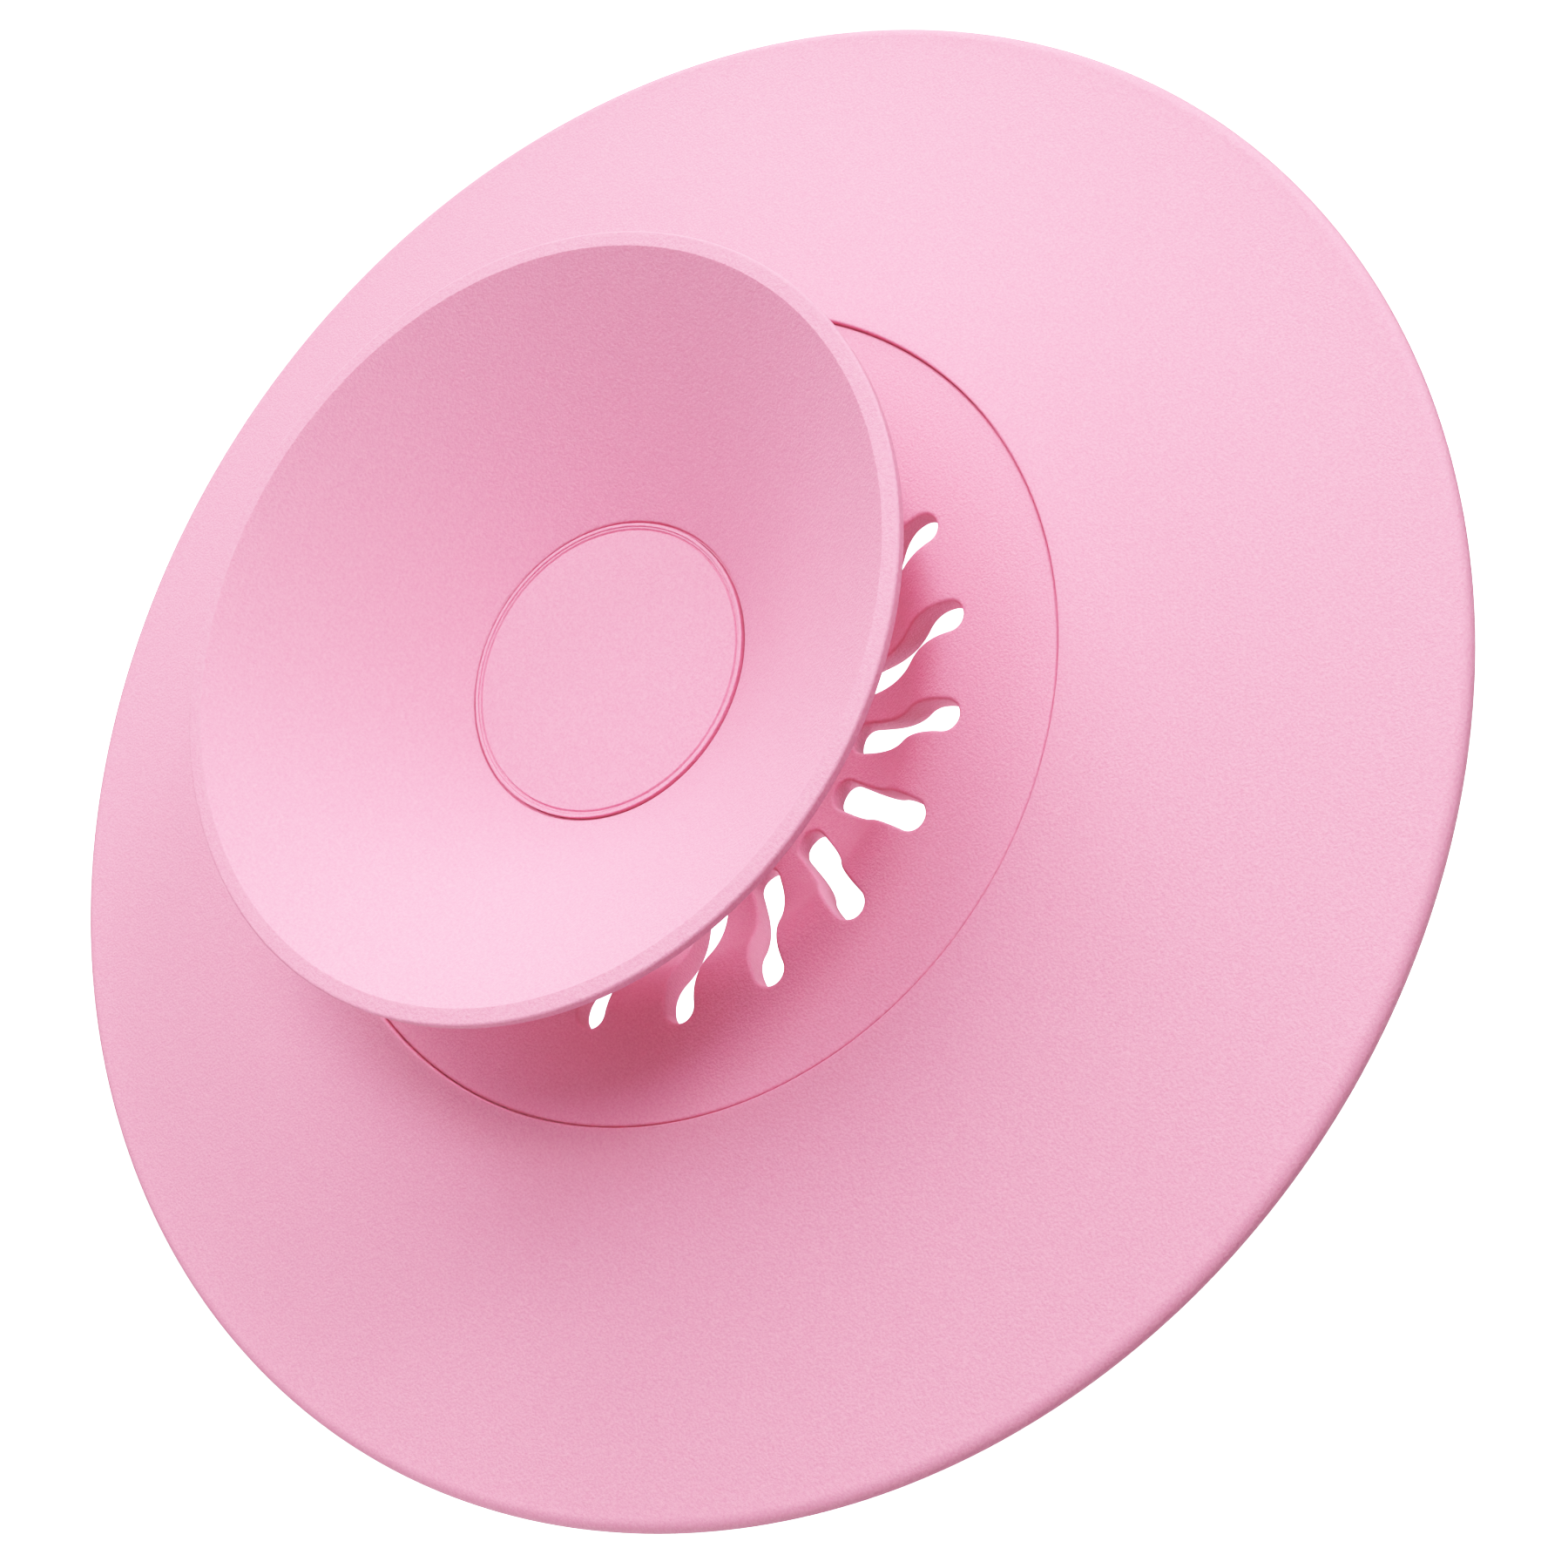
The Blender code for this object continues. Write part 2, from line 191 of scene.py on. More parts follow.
# Stem, bush, friction ring and clip
stem_radius = stem_high.x
stem_groove_radius = stem_radius - 0.7 * mm
stem_groove_round = 0.06 * mm
stem_foot_round = 0.7 * mm
bush_radius = 7.2 * mm
bush_head_radius = 8.2 * mm
bush_head_thickness = 0.8 * mm
bush_head_step = 1.1 * mm
bush_head_round = 0.45 * mm
bush_flange_thickness = 1.2 * mm
bush_bore_radius = stem_radius + running_gap
bush_foot_round = 0.5 * mm
ring_groove_half = 1.15 * mm
clip_mouth_width = 4.6 * mm

# Camera: lens and sensor width in millimetres
camera_place = (-0.10 * mm, -135.82 * mm, 182.10 * mm)
camera_tilt = math.radians(33.98)
camera_roll = math.radians(-57.33)
camera_lens = 53.742
camera_sensor = 36.0

# White surround, in metres
floor_drop = 0.30
floor_half = 1.0
floor_turn_steps = 96
wall_round = 1.5
wall_steps = 33
paper_glow = 1.9
world_glow = 0.10


def rounded(corners):
    """Outline of (radius, height) points with its corners rounded.

    Each row of corners is (radius, height, rounding). A rounded corner gives way to an arc that
    touches the runs on both sides: centre + weight_a * (arc start - centre) + weight_b * (arc end -
    centre). The weights, sin((1 - share) * turn) / sin(turn) and sin(share * turn) / sin(turn), go
    evenly through the corner's turn. One more point on each run, just clear of the arc and no
    further than a third of the free run, keeps the flat beside it flat in shading. A corner with
    no rounding keeps its own point.
    """
    tiny = 1e-12
    least_turn = 1e-6
    corners = np.array(corners, dtype=float)
    point, size = corners[:, :2], corners[:, 2:]
    back = np.roll(point, 1, axis=0) - point
    ahead = np.roll(point, -1, axis=0) - point
    back_length = np.linalg.norm(back, axis=1, keepdims=True)
    ahead_length = np.linalg.norm(ahead, axis=1, keepdims=True)
    back = back / back_length
    ahead = ahead / ahead_length
    half = np.arccos(np.clip((back * ahead).sum(axis=1, keepdims=True), -1, 1)) / 2
    middle = back + ahead
    middle = middle / np.maximum(np.linalg.norm(middle, axis=1, keepdims=True), tiny)
    reach = size / np.tan(half)
    centre = point + middle * size / np.sin(half)
    arc_start = point + back * reach
    arc_end = point + ahead * reach
    turn = np.maximum(math.pi - 2 * half, least_turn)[:, None, :]
    share = np.linspace(0, 1, arc_steps + 1)[None, :, None]
    weight_a = np.sin((1 - share) * turn) / np.sin(turn)
    weight_b = np.sin(share * turn) / np.sin(turn)
    offset_a = (arc_start - centre)[:, None, :]
    offset_b = (arc_end - centre)[:, None, :]
    arcs = centre[:, None, :] + weight_a * offset_a + weight_b * offset_b
    is_round = size > 0
    free_back = np.maximum(back_length - reach - np.roll(reach, 1, axis=0), 0) / 3
    free_ahead = np.maximum(ahead_length - reach - np.roll(reach, -1, axis=0), 0) / 3
    before = arc_start + back * np.minimum(free_back, support_distance) * is_round
    after = arc_end + ahead * np.minimum(free_ahead, support_distance) * is_round
    rows = np.concatenate([before[:, None, :], arcs, after[:, None, :]], axis=1).reshape(-1, 2)
    step = np.linalg.norm(np.diff(rows, axis=0, prepend=rows[-1:]), axis=1)
    step[0] = 1
    return rows[step > merge_distance]


def grid_faces(rows, columns, rows_close):
    """Quads between neighbouring rows and columns of a grid of points, numbered row by row.

    The columns always close on themselves, and the rows do when rows_close is set.
    """
    row = np.arange(rows if rows_close else rows - 1)[:, None]
    column = np.arange(columns)[None, :]
    next_row = (row + 1) % rows
    next_column = (column + 1) % columns
    here = row * columns + column
    beside = row * columns + next_column
    across = next_row * columns + next_column
    below = next_row * columns + column
    return np.stack([here, beside, across, below], axis=-1).reshape(-1, 4)


def new_piece(name, points, quads, body, slot, *nodes):
    """One closed smooth mesh from points and quads, merged where points meet, facing outwards."""
    mesh = bpy.data.meshes.new(name)
    mesh.vertices.add(len(points))
    mesh.vertices.foreach_set("co", np.asarray(points, dtype=np.float32).ravel())
    mesh.loops.add(quads.size)
    mesh.loops.foreach_set("vertex_index", quads.astype(np.int32).ravel())
    mesh.polygons.add(len(quads))
    mesh.polygons.foreach_set("loop_start", np.arange(0, quads.size, 4, dtype=np.int32))
    mesh.update(calc_edges=True)
    shape = bmesh.new()
    shape.from_mesh(mesh)
    bmesh.ops.remove_doubles(shape, verts=shape.verts, dist=merge_distance)
    bmesh.ops.recalc_face_normals(shape, faces=shape.faces)
    shape.to_mesh(mesh)
    shape.free()
    mesh.shade_smooth()
    piece = bpy.data.objects.new(name, mesh)
    bpy.context.scene.collection.objects.link(piece)
    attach(piece, body)
    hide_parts(*nodes)
    return piece


def turned_points(outline, steps):
    """Points of an outline turned about the axis: (radius * cos a, radius * sin a, height)."""
    angle = np.linspace(0, 2 * math.pi, steps, endpoint=False)
    radius, height = outline[:, 0:1], outline[:, 1:2]
    return np.stack([radius * np.cos(angle), radius * np.sin(angle),
                     height + 0 * angle], axis=-1).reshape(-1, 3)


def turned_piece(name, outline, steps, closed, body, slot, node):
    """Piece turned from an outline that closes on itself, or else starts and ends on the axis."""
    return new_piece(name, turned_points(outline, steps), grid_faces(len(outline), steps, closed),
                     body, slot, node)


def arc_corners(radius, height, size, start, end, steps):
    """Unrounded corners on an arc about (radius, height): centre + size * (cos a, sin a)."""
    angle = np.radians(np.linspace(start, end, steps))
    return np.stack([radius + size * np.cos(angle), height + size * np.sin(angle), 0 * angle],
                    axis=-1).tolist()


def brim_top(radius):
    """Height of the brim's top: edge thickness + rise * (share of the way in) ** power.

    The way in runs from the start of the rounded edge to the lip at the seam.
    """
    outer = brim_radius - brim_edge_round
    inner = seam_radius + brim_lip_round
    share = (outer - radius) / (outer - inner)
    return brim_edge_thickness + (lip_height - brim_edge_thickness) * share ** brim_crown_power


def make_brim():
    """Soft disc: a crown, a rounded edge, ribs underneath and a deep groove for the hub's tongue.

    The ribs lie between shallow grooves whose sides lean at 45 degrees.
    """
    lip = seam_radius + brim_lip_round
    tongue_top = brim_web_thickness + seat_gap + tongue_thickness + seat_gap
    groove_radius = tongue_radius + seat_gap
    opening = seam_radius - brim_web_reach
    crown = np.linspace(lip, brim_radius - brim_edge_round, crown_steps)
    lip_arc = arc_corners(lip, lip_height - brim_lip_round, brim_lip_round, 180, 90, 2 * arc_steps)
    top = np.stack([crown, brim_top(crown), 0 * crown], axis=-1)[1:-1].tolist()
    edge = [(brim_radius, brim_edge_thickness, brim_edge_round), (brim_radius, 0, brim_edge_round)]
    wide = brim_groove_width / 2
    narrow = wide - brim_groove_depth
    grooves = []
    for index in reversed(range(brim_groove_count)):
        middle = brim_groove_first_radius + index * brim_groove_spacing
        grooves += [
            (middle + wide, 0, moulded_round),
            (middle + narrow, brim_groove_depth, moulded_round),
            (middle - narrow, brim_groove_depth, moulded_round),
            (middle - wide, 0, moulded_round)]
    inside = [
        (opening, 0, moulded_round),
        (opening, brim_web_thickness, moulded_round),
        (groove_radius, brim_web_thickness, moulded_round),
        (groove_radius, tongue_top, moulded_round),
        (seam_radius, tongue_top, moulded_round)]
    outline = rounded(lip_arc + top + edge + grooves + inside)
    return turned_piece("brim_moulding", outline, large_turn_steps, True, "cover", "brim", "brim")


def hub_top(radius):
    """Height of the hub's top: two straight slopes and a level land.

    A parabola joins each pair of runs within the ease on both sides of their corner, adding
    (change of slope) * (distance into the ease) ** 2 / (4 * ease).
    """
    ramp_slope = dish_depth / dish_ramp_width

    def corner(distance, slope, change):
        into = np.clip(distance + dish_ease, 0, 2 * dish_ease)
        past = np.maximum(distance - dish_ease, 0)
        return slope * distance + change * (into ** 2 / (4 * dish_ease) + past)

    from_foot = radius - dish_foot_radius
    from_shoulder = radius - dish_shoulder_radius
    bend = ramp_slope - dish_floor_slope
    foot = land_height - dish_depth + corner(from_foot, dish_floor_slope, bend)
    shoulder = land_height + corner(from_shoulder, ramp_slope, -ramp_slope)
    return np.where(from_foot < dish_ramp_width / 2, foot, shoulder)


def hub_underside_curve():
    """Radii and heights of the underside: one wall below the top, measured square to it."""
    well_fall = hub_top(well_edge_radius) - well_floor_height
    half_turn = math.atan(well_lean / well_fall) / 2
    offset = hub_wall * math.tan(half_turn)
    radius = np.linspace(well_edge_radius + offset, tongue_radius, slope_samples)
    rise = hub_top(radius + slope_probe) - hub_top(radius - slope_probe)
    slope = rise / (2 * slope_probe)
    length = np.hypot(1, slope)
    lower_radius = radius + hub_wall * slope / length
    lower_height = hub_top(radius) - hub_wall / length
    well_radius = well_floor_radius - offset
    well_height = well_floor_height - hub_wall
    return np.append(well_radius, lower_radius), np.append(well_height, lower_height)


def hub_underside(radius):
    """Height of the hub's underside at a radius."""
    return np.interp(radius, *hub_underside_curve())


def slot_loop(offset):
    """Outline of one slot, widened by offset: a half circle, a side, a half circle and a side.

    It is centred on +X, and its points pair with those of sector_loop.
    """
    half = slot_width / 2 + offset
    outer = slot_outer_radius - slot_width / 2
    inner = slot_inner_radius + slot_width / 2
    end = np.linspace(-math.pi / 2, math.pi / 2, slot_end_steps, endpoint=False)
    root = np.linspace(math.pi / 2, 3 * math.pi / 2, slot_root_steps, endpoint=False)
    side = np.linspace(outer, inner, slot_side_steps, endpoint=False)
    back = np.linspace(inner, outer, slot_side_steps, endpoint=False)
    x = np.concatenate([outer + half * np.cos(end), side, inner + half * np.cos(root), back])
    y = np.concatenate([half * np.sin(end), side * 0 + half, half * np.sin(root), back * 0 - half])
    return x, y


def sector_loop():
    """Outline of the sector that belongs to one slot: an arc, a side, an arc and a side."""
    reach = math.pi / slot_count
    inner, outer = sector_inner_radius, sector_outer_radius
    end = np.linspace(-reach, reach, slot_end_steps, endpoint=False)
    root = np.linspace(reach, -reach, slot_root_steps, endpoint=False)
    side = np.linspace(outer, inner, slot_side_steps, endpoint=False)
    back = np.linspace(inner, outer, slot_side_steps, endpoint=False)
    radius = np.concatenate([end * 0 + outer, side, root * 0 + inner, back])
    angle = np.concatenate([end, side * 0 + reach, root, back * 0 - reach])
    return radius * np.cos(angle), radius * np.sin(angle)


def slot_sectors():
    """Points and quads of the sectors, all alike, one round each slot.

    A sector is a grid whose columns run round the slot. Its rows go from the sector's edge to the
    slot along the top, over a rounded edge, down the slot's wall, round the lower edge and back
    to the sector's edge along the underside.
    """
    edge_x, edge_y = sector_loop()

    def across(rounding, shares):
        """Loops between the sector's edge and the slot's, at each share of the way."""
        near_x, near_y = slot_loop(rounding)
        share = shares[:, None]
        x = edge_x * (1 - share) + near_x * share
        y = edge_y * (1 - share) + near_y * share
        return x, y

    def over_edge(rounding, angles):
        """Slot loops over a rounded edge, wider by r * (1 - sin a), and drops r * (1 - cos a)."""
        loops = [slot_loop(rounding * (1 - math.sin(a))) for a in angles]
        drop = rounding * (1 - np.cos(angles))
        return np.array([x for x, y in loops]), np.array([y for x, y in loops]), drop[:, None]

    shares = np.linspace(0, 1, slot_across_steps)
    turn = np.linspace(0, math.pi / 2, arc_steps)[1:]
    top_x, top_y = across(slot_top_round, shares)
    top_z = hub_top(np.hypot(top_x, top_y))
    lip_x, lip_y, lip_drop = over_edge(slot_top_round, turn)
    lip_z = hub_top(np.hypot(lip_x, lip_y)) - lip_drop
    foot_x, foot_y, foot_drop = over_edge(slot_foot_round, turn[::-1])
    foot_z = hub_underside(np.hypot(foot_x, foot_y)) + foot_drop
    low_x, low_y = across(slot_foot_round, shares[::-1])
    low_z = hub_underside(np.hypot(low_x, low_y))
    wall = np.linspace(0, 1, slot_wall_steps)[1:-1, None]
    wall_x = lip_x[-1:] + 0 * wall
    wall_y = lip_y[-1:] + 0 * wall
    wall_z = lip_z[-1:] * (1 - wall) + foot_z[:1] * wall
    x = np.concatenate([top_x, lip_x, wall_x, foot_x, low_x])
    y = np.concatenate([top_y, lip_y, wall_y, foot_y, low_y])
    z = np.concatenate([top_z, lip_z, wall_z, foot_z, low_z])
    rows, columns = x.shape
    turns = (slot_first_angle + np.arange(slot_count) * 2 * math.pi / slot_count)[:, None, None]
    points = np.stack([x * np.cos(turns) - y * np.sin(turns),
                       x * np.sin(turns) + y * np.cos(turns), z + 0 * turns], axis=-1)
    starts = np.arange(slot_count)[:, None, None] * rows * columns
    quads = grid_faces(rows, columns, False)[None] + starts
    return points.reshape(-1, 3), quads.reshape(-1, 4)


def hub_middle():
    """Outline inside the sectors: the well, the hole for the bush and the well's underside."""
    head_hole = bush_head_radius + seat_gap
    sleeve_hole = bush_radius + seat_gap
    head_floor = well_floor_height - bush_head_step
    well_foot = well_floor_height - hub_wall
    return rounded([
        (sector_inner_radius, float(hub_top(sector_inner_radius)), 0),
        (well_edge_radius, float(hub_top(well_edge_radius)), soft_round),
        (well_floor_radius, well_floor_height, full_round),
        (head_hole, well_floor_height, fine_round),
        (head_hole, head_floor, crisp_round),
        (sleeve_hole, head_floor, crisp_round),
        (sleeve_hole, well_foot, fine_round),
        (hub_underside_curve()[0][0], well_foot, well_foot_round),
        (sector_inner_radius, float(hub_underside(sector_inner_radius)), 0)])


def hub_rim():
    """Outline outside the sectors: the tongue for the brim, and the fine groove of the seam."""
    seam_edge = seam_radius - seam_gap
    tongue_foot = brim_web_thickness + seat_gap
    tongue_top = tongue_foot + tongue_thickness
    tongue_back = tongue_radius - tongue_land_width
    groove_wall = seam_radius - line_floor_gap
    groove_floor = land_height - line_depth
    return rounded([
        (sector_outer_radius, float(hub_underside(sector_outer_radius)), 0),
        (tongue_back, land_height - hub_wall, full_round),
        (tongue_back, tongue_foot, moulded_round),
        (tongue_radius, tongue_foot, moulded_round),
        (tongue_radius, tongue_top, moulded_round),
        (groove_wall, tongue_top, moulded_round),
        (groove_wall, groove_floor, line_round),
        (seam_edge, groove_floor, line_round),
        (seam_edge, land_height, hub_edge_round),
        (sector_outer_radius, land_height, 0)])


def make_hub():
    """Slotted dish: a sector round each slot, and turned skins inside and outside the sectors.

    The skins are turned on the axis so that their points meet those of the sectors.
    """
    points, quads = slot_sectors()
    turn = np.array(Matrix.Rotation(math.pi / slot_count - slot_first_angle, 3, "Z"))
    skins = ((hub_middle(), slot_root_steps * slot_count), (hub_rim(), slot_end_steps * slot_count))
    for outline, steps in skins:
        quads = np.concatenate([quads, grid_faces(len(outline), steps, False) + len(points)])
        points = np.concatenate([points, turned_points(outline, steps) @ turn])
    return new_piece("hub_moulding", points, quads, "cover", "hub", "strainer_hub")


def cup_inside(radius):
    """Height of the cup's inner face, a straight cone up to the mouth."""
    return cup_rim_height - cup_wall_slope * (cup_mouth_radius - radius)


def make_cup():
    """Conical cup with a flat-topped rim, a sealing lip underneath and a seat for the cap.

    Going round the section: the rim, the outside down to the foot, the hole for the cap's pin, the
    seat, and the fine groove that the cup leaves round the cap.
    """
    def outside(radius, rounding):
        """Corner on the outer face, one wall below the inner one."""
        return radius, cup_inside(radius) - cup_wall_upright, rounding

    lip_tip = land_height + seat_gap + lift_travel
    lip = arc_corners(seal_lip_radius, lip_tip + seal_lip_half, seal_lip_half, 0, -180, tip_steps)
    seat = cup_floor_height + cup_floor_thickness
    pin_hole = cap_pin_radius + seat_gap
    seat_wall = cap_high.x + line_floor_gap
    groove_wall = cap_high.x + cap_crevice
    groove_floor = cup_inside(groove_wall) - line_depth
    outline = rounded([
        (cup_mouth_radius, cup_rim_height, cup_mouth_round),
        (cup_rim_radius, cup_rim_height, cup_rim_round),
        outside(cup_rim_radius, cup_rim_foot_round),
        outside(seal_lip_radius + seal_lip_root_half, soft_round),
        *lip,
        outside(seal_lip_radius - seal_lip_root_half, soft_round),
        outside(cup_corner_radius, full_round),
        (cup_corner_radius - cup_floor_corner, cup_floor_height, cup_floor_round),
        (pin_hole, cup_floor_height, crisp_round),
        (pin_hole, seat, crisp_round),
        (seat_wall, seat, fine_round),
        (seat_wall, groove_floor, line_round),
        (groove_wall, groove_floor, cap_groove_round),
        (groove_wall, cup_inside(groove_wall), cap_mouth_round)])
    return turned_piece("cup_moulding", outline, large_turn_steps, True,
                        "valve", "cup", "valve_cup")


def make_cap():
    """Flat button with two fine creases and a beaded edge, and the pin that holds it.

    Going out, the top has a crease, a narrow ledge, a second crease and then the bead.
    """
    edge = cap_high.x
    pin_foot = cap_low.z
    bead_start = edge - cap_bead_width
    outer_crease = bead_start - outer_crease_half
    inner_crease = outer_crease - cap_ledge_width
    outline = rounded([
        (0, cap_top_height, 0),
        (inner_crease - inner_crease_half, cap_top_height, line_round),
        (inner_crease, cap_top_height - inner_crease_depth, line_round),
        (inner_crease + inner_crease_half, cap_top_height, line_round),
        (outer_crease - outer_crease_half, cap_top_height, outer_crease_round),
        (outer_crease, cap_top_height - outer_crease_depth, outer_crease_round),
        (bead_start, cap_bead_top, cap_bead_inner_round),
        (edge, cap_bead_top, cap_bead_outer_round),
        (edge, cap_underside_height, small_round),
        (cap_pin_radius, cap_underside_height, small_round),
        (cap_pin_radius, pin_foot, full_round),
        (0, pin_foot, 0)])
    return turned_piece("cap_moulding", outline, large_turn_steps, False,
                        "valve", "cap", "centre_cap")


def make_stem():
    """Turned rod with a socket for the cap's pin, a groove for the clip and a tapered foot."""
    socket = cap_pin_radius + seat_gap
    socket_floor = cap_low.z - seat_gap
    groove_top = clip_high.z + seat_gap
    groove_foot = clip_low.z - seat_gap
    outline = rounded([
        (0, socket_floor, 0),
        (socket, socket_floor, crisp_round),
        (socket, stem_high.z, fine_round),
        (stem_radius, stem_high.z, soft_round),
        (stem_radius, groove_top, stem_groove_round),
        (stem_groove_radius, groove_top, stem_groove_round),
        (stem_groove_radius, groove_foot, stem_groove_round),
        (stem_radius, groove_foot, stem_groove_round),
        (stem_radius, stem_low.z, stem_foot_round),
        (0, stem_low.z, 0)])
    return turned_piece("stem_rod", outline, small_turn_steps, False,
                        "valve", "stem", "valve_stem")


def make_bush():
    """Sleeve with a head above the hub's floor, a flange below it and a groove for the ring."""
    head_foot = bush_high.z - bush_head_thickness
    flange_top = well_floor_height - hub_wall - seat_gap
    flange_foot = flange_top - bush_flange_thickness
    ring_middle = (ring_low.z + ring_high.z) / 2
    groove_radius = ring_high.x + seat_gap
    groove_foot = ring_middle - ring_groove_half
    groove_top = ring_middle + ring_groove_half
    outline = rounded([
        (bush_bore_radius, bush_high.z, soft_round),
        (bush_head_radius, bush_high.z, bush_head_round),
        (bush_head_radius, head_foot, crisp_round),
        (bush_radius, head_foot, crisp_round),
        (bush_radius, flange_top, crisp_round),
        (bush_high.x, flange_top, small_round),
        (bush_high.x, flange_foot, soft_round),
        (bush_radius, flange_foot, small_round),
        (bush_radius, bush_low.z, bush_foot_round),
        (bush_bore_radius, bush_low.z, small_round),
        (bush_bore_radius, groove_foot, crisp_round),
        (groove_radius, groove_foot, crisp_round),
        (groove_radius, groove_top, crisp_round),
        (bush_bore_radius, groove_top, crisp_round)])
    return turned_piece("bush_sleeve", outline, small_turn_steps, True,
                        "cover", "bush", "guide_bush")


def make_ring():
    """Ring of round section, a circle carried round the stem: centre + half * (cos a, sin a)."""
    half = (ring_high.z - ring_low.z) / 2
    turn = np.linspace(0, 2 * math.pi, section_steps, endpoint=False)
    centre_radius = stem_radius + running_gap + half
    outline = np.stack([centre_radius + half * np.cos(turn),
                        ring_low.z + half + half * np.sin(turn)], axis=-1)
    return turned_piece("ring_seal", outline, small_turn_steps, True,
                        "ring", "ring", "friction_ring")


def make_clip():
    """Open ring: a rounded section carried round from one side of its mouth to the other.

    At each radius the sweep stops where the mouth's straight side cuts it, at
    pi - asin(half the mouth's width / radius). Fans to their middle points close the two ends.
    """
    inner = stem_groove_radius + seat_gap
    outer = clip_high.y
    section = rounded([
        (inner, clip_high.z, crisp_round),
        (outer, clip_high.z, crisp_round),
        (outer, clip_low.z, crisp_round),
        (inner, clip_low.z, crisp_round)])
    radius = section[:, 0][None, :]
    share = np.linspace(-1, 1, clip_steps)[:, None]
    angle = share * (math.pi - np.arcsin(clip_mouth_width / 2 / radius))
    points = np.stack([radius * np.cos(angle), radius * np.sin(angle),
                       section[:, 1][None, :] + 0 * angle], axis=-1)
    ends = np.repeat(points[[0, -1]].mean(axis=1, keepdims=True), len(section), axis=1)
    points = np.concatenate([ends[:1], points, ends[1:]])
    return new_piece("clip_ring", points.reshape(-1, 3),
                     grid_faces(points.shape[0], len(section), False), "valve", "clip", "stop_clip")


def linear(srgb_hex):
    """Linear red, green, blue and full alpha of a hex sRGB colour.

    The sRGB rule: c / 12.92 for shares up to 0.04045, ((c + 0.055) / 1.055) ** 2.4 above.
    """
    channel = np.array([int(srgb_hex[start:start + 2], 16) / 255 for start in (0, 2, 4)])
    value = np.where(channel <= 0.04045, channel / 12.92, ((channel + 0.055) / 1.055) ** 2.4)
    return (*value.tolist(), 1.0)


def add_node(tree, kind, links=None, **settings):
    """Add a node, set its properties or input values by name, and link its inputs."""
    node = tree.nodes.new(kind)
    for name, value in settings.items():
        if hasattr(node, name):
            setattr(node, name, value)
        else:
            node.inputs[name.replace("_", " ")].default_value = value
    for name, socket in (links or {}).items():
        tree.links.new(socket, node.inputs[name])
    return node


def new_material(name):
    """Material with its node tree, its shader and the Object coordinates that patterns lie in."""
    material = bpy.data.materials.new(name)
    material.use_nodes = True
    tree = material.node_tree
    shader = tree.nodes["Principled BSDF"]
    place = tree.nodes.new("ShaderNodeTexCoord").outputs["Object"]
    return material, tree, shader, place


def grain_field(tree, place, pitch, stretch=(1, 1, 1)):
    """Noise of one feature size, in metres, stretched along the axes where a finish has a run."""
    run = add_node(tree, "ShaderNodeMapping", {"Vector": place}, Scale=stretch)
    noise = add_node(tree, "ShaderNodeTexNoise", {"Vector": run.outputs["Vector"]},
                     Scale=1 / pitch, Detail=2.0, Roughness=0.6)
    return noise.outputs["Fac"]


def drive(tree, shader, name, field, low, high):
    """Let a field from 0 to 1 move one of the shader's numbers from low to high."""
    span = add_node(tree, "ShaderNodeMapRange", {"Value": field}, To_Min=low, To_Max=high)
    tree.links.new(span.outputs["Result"], shader.inputs[name])


def tint(tree, shader, field, colour, other_colour):
    """Drift the base colour from one hex colour to another along a field."""
    mix = add_node(tree, "ShaderNodeMix", {"Factor": field}, data_type="RGBA")
    mix.inputs["A"].default_value = linear(colour)
    mix.inputs["B"].default_value = linear(other_colour)
    tree.links.new(mix.outputs["Result"], shader.inputs["Base Color"])


def raise_grain(tree, shader, field, depth, strength):
    """Raise the surface's normals by a field from 0 to 1, a depth in metres high."""
    bump = add_node(tree, "ShaderNodeBump", {"Height": field}, Strength=strength, Distance=depth)
    tree.links.new(bump.outputs["Normal"], shader.inputs["Normal"])


def moulded_silicone():
    """Pink silicone rubber from a spark-eroded mould.

    Its grain has a pitch of 0.15 mm, drawn at 0.24 mm so that it shows, which takes the gloss off
    and leaves a matt, faintly speckled skin. Light goes a little way into the rubber, so creases
    and shaded walls stay pink.
    """
    material, tree, shader, place = new_material("moulded_pink_silicone")
    grain = grain_field(tree, place, pitch=0.24 * mm)
    tint(tree, shader, grain, "E18BA9", "F7ADC4")
    drive(tree, shader, "Roughness", grain, low=0.50, high=0.64)
    raise_grain(tree, shader, grain, depth=0.08 * mm, strength=1.0)
    shader.inputs["IOR"].default_value = 1.41
    shader.inputs["Specular IOR Level"].default_value = 0.10
    shader.inputs["Subsurface Weight"].default_value = 0.15
    shader.inputs["Subsurface Radius"].default_value = (1.0, 0.55, 0.65)
    shader.inputs["Subsurface Scale"].default_value = 0.5 * mm
    return material


def turned_nylon():
    """Natural nylon rod, turned on a lathe.

    Feed marks run round it at a pitch of 0.12 mm, drawn at 0.24 mm so that they show: a satin
    streak across each highlight. The cream plastic lets a little light in.
    """
    material, tree, shader, place = new_material("turned_natural_nylon")
    feed = grain_field(tree, place, pitch=0.24 * mm, stretch=(0.03, 0.03, 1))
    tint(tree, shader, grain_field(tree, place, pitch=6 * mm), "EFE8DA", "E9E0CF")
    drive(tree, shader, "Roughness", feed, low=0.30, high=0.46)
    raise_grain(tree, shader, feed, depth=0.02 * mm, strength=0.4)
    shader.inputs["IOR"].default_value = 1.53
    shader.inputs["Subsurface Weight"].default_value = 0.3
    shader.inputs["Subsurface Radius"].default_value = (1.0, 0.9, 0.7)
    shader.inputs["Subsurface Scale"].default_value = 0.8 * mm
    return material


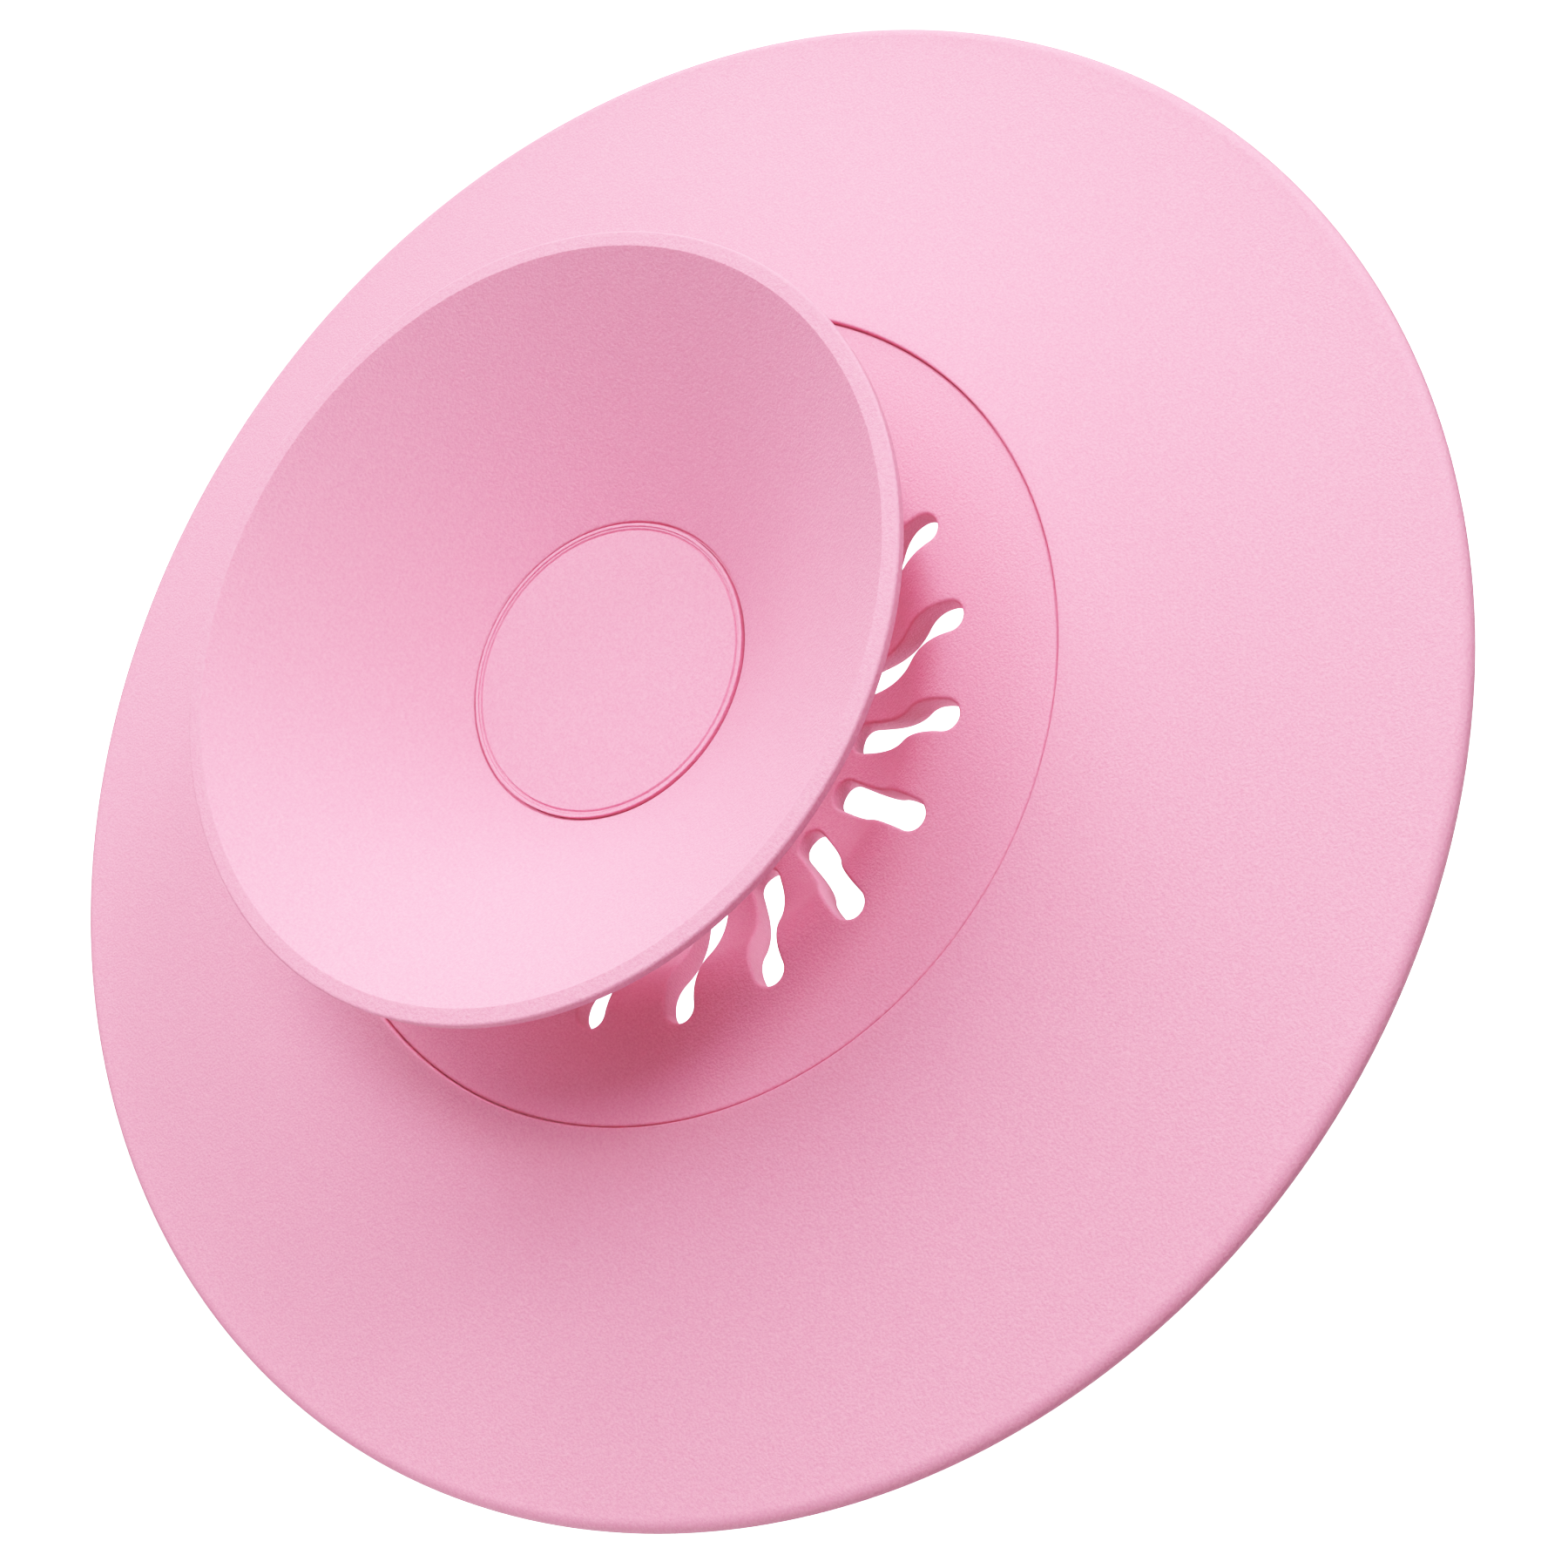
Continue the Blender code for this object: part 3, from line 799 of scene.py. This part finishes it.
def moulded_acetal():
    """White acetal, injection moulded in a polished tool: smooth and waxy, faintly mottled."""
    material, tree, shader, place = new_material("moulded_white_acetal")
    mottle = grain_field(tree, place, pitch=0.9 * mm)
    tint(tree, shader, grain_field(tree, place, pitch=5 * mm), "F5F3EE", "EFEDE6")
    drive(tree, shader, "Roughness", mottle, low=0.26, high=0.38)
    raise_grain(tree, shader, mottle, depth=0.02 * mm, strength=0.15)
    shader.inputs["IOR"].default_value = 1.48
    shader.inputs["Subsurface Weight"].default_value = 0.2
    shader.inputs["Subsurface Radius"].default_value = (1.0, 0.95, 0.9)
    shader.inputs["Subsurface Scale"].default_value = 0.6 * mm
    return material


def nitrile_rubber():
    """Black nitrile rubber, press moulded: dull, with the grey bloom that such rings have."""
    material, tree, shader, place = new_material("moulded_black_nitrile")
    bloom = grain_field(tree, place, pitch=0.35 * mm)
    tint(tree, shader, bloom, "19191A", "2B2B2D")
    drive(tree, shader, "Roughness", bloom, low=0.5, high=0.7)
    raise_grain(tree, shader, bloom, depth=0.015 * mm, strength=0.4)
    shader.inputs["IOR"].default_value = 1.52
    return material


def stamped_stainless():
    """Stainless steel strip, rolled and then stamped.

    Rolling lines run one way at a pitch of 0.05 mm, drawn at 0.15 mm so that they show: a grey
    metal whose highlights are drawn out along the lines.
    """
    material, tree, shader, place = new_material("stamped_stainless_steel")
    lines = grain_field(tree, place, pitch=0.15 * mm, stretch=(0.04, 1, 1))
    tint(tree, shader, lines, "C9C8C5", "BEBDBA")
    drive(tree, shader, "Roughness", lines, low=0.24, high=0.40)
    raise_grain(tree, shader, lines, depth=0.01 * mm, strength=0.4)
    shader.inputs["Metallic"].default_value = 1.0
    return material


def finish_pieces():
    """Build every piece and give it its material."""
    silicone = moulded_silicone()
    finishes = ((make_brim(), silicone), (make_hub(), silicone), (make_cup(), silicone),
                (make_cap(), silicone), (make_stem(), turned_nylon()),
                (make_bush(), moulded_acetal()), (make_ring(), nitrile_rubber()),
                (make_clip(), stamped_stainless()))
    for piece, material in finishes:
        piece.data.materials.append(material)


def add_light(name, size, watts, turn, rise, distance):
    """Square soft light facing the origin. Its turn about +Z and its rise are in degrees."""
    data = bpy.data.lights.new(name, "AREA")
    data.shape = "SQUARE"
    data.size = size
    data.energy = watts
    light = bpy.data.objects.new(name, data)
    bpy.context.scene.collection.objects.link(light)
    turn, rise = math.radians(turn), math.radians(rise)
    across = distance * math.cos(rise)
    light.location = (across * math.cos(turn), across * math.sin(turn), distance * math.sin(rise))
    light.rotation_euler = (-light.location).to_track_quat("-Z", "Y").to_euler()


def make_sweep():
    """Seamless white floor that curves up into walls and closes overhead, all seen as white.

    Its profile is flat out to floor_half, then follows the arc
    (floor_half + wall_round * sin a, -floor_drop + wall_round * (1 - cos a)) back to the axis.
    """
    turn = np.linspace(0, math.pi, wall_steps)
    outline = np.stack([floor_half + wall_round * np.sin(turn),
                        wall_round * (1 - np.cos(turn)) - floor_drop], axis=-1)
    outline = np.concatenate([[[0, -floor_drop]], outline, [[0, 2 * wall_round - floor_drop]]])
    points = turned_points(outline, floor_turn_steps)
    quads = grid_faces(len(outline), floor_turn_steps, False)
    mesh = bpy.data.meshes.new("studio_floor")
    mesh.from_pydata(points.tolist(), [], quads.tolist())
    mesh.shade_smooth()
    floor = bpy.data.objects.new("studio_floor", mesh)
    bpy.context.scene.collection.objects.link(floor)
    material, _, shader, _ = new_material("white_paper")
    shader.inputs["Base Color"].default_value = linear("FCFCFC")
    shader.inputs["Roughness"].default_value = 0.9
    shader.inputs["Emission Color"].default_value = linear("FFFFFF")
    shader.inputs["Emission Strength"].default_value = paper_glow
    mesh.materials.append(material)
    floor.visible_diffuse = False
    floor.visible_glossy = False
    floor.visible_transmission = False
    floor.visible_shadow = False


def make_studio():
    """Soft lights: the strongest from behind and above, weaker ones all round.

    The two bounces stand for the light that a pale floor throws back from below.
    """
    make_sweep()
    world = bpy.data.worlds.new("studio_surround")
    world.use_nodes = True
    background = world.node_tree.nodes["Background"]
    background.inputs["Color"].default_value = linear("FFFFFF")
    background.inputs["Strength"].default_value = world_glow
    bpy.context.scene.world = world
    add_light("back_broad", size=0.8, watts=7.08, turn=45, rise=60, distance=1.2)
    add_light("back_low", size=0.2, watts=2.46, turn=60, rise=20, distance=0.8)
    add_light("right_grazing", size=0.2, watts=2.05, turn=20, rise=12, distance=0.8)
    add_light("right_low", size=0.2, watts=0.71, turn=0, rise=20, distance=0.8)
    add_light("right_front", size=0.2, watts=1.57, turn=-20, rise=35, distance=0.8)
    add_light("front_high", size=0.2, watts=1.65, turn=-40, rise=68, distance=0.8)
    add_light("front_grazing", size=0.3, watts=0.50, turn=-55, rise=-6, distance=0.8)
    add_light("overhead", size=0.4, watts=0.70, turn=0, rise=85, distance=0.8)
    add_light("front_fill", size=0.4, watts=1.12, turn=250, rise=45, distance=0.8)
    add_light("back_fill", size=0.4, watts=0.76, turn=110, rise=45, distance=0.8)
    add_light("left_bounce", size=0.6, watts=3.90, turn=180, rise=-22, distance=0.8)
    add_light("floor_bounce", size=0.8, watts=6.10, turn=0, rise=-90, distance=0.8)


def make_camera():
    """Camera where the photograph was taken from: above and in front, a little turned."""
    data = bpy.data.cameras.new("photo_camera")
    data.lens = camera_lens
    data.sensor_width = camera_sensor
    camera = bpy.data.objects.new("photo_camera", data)
    tilt = Matrix.Rotation(camera_tilt, 4, "X")
    roll = Matrix.Rotation(camera_roll, 4, "Z")
    camera.matrix_world = Matrix.Translation(camera_place) @ tilt @ roll
    bpy.context.scene.collection.objects.link(camera)
    bpy.context.scene.camera = camera


def make_response():
    """How the camera answers to light: nearly straight in the shade, then a soft shoulder.

    Each point is (share of the brightest light that it tells from white, brightness shown).
    """
    brightest = 1.8
    settings = bpy.context.scene.view_settings
    settings.view_transform = "Standard"
    settings.use_curve_mapping = True
    mapping = settings.curve_mapping
    mapping.white_level = (brightest, brightest, brightest)
    for light, shown in ((0.07, 0.12), (0.14, 0.284), (0.28, 0.561), (0.445, 0.77), (0.667, 0.932)):
        mapping.curves[3].points.new(light, shown)
    mapping.update()


make_camera()
make_response()
finish_pieces()
make_studio()
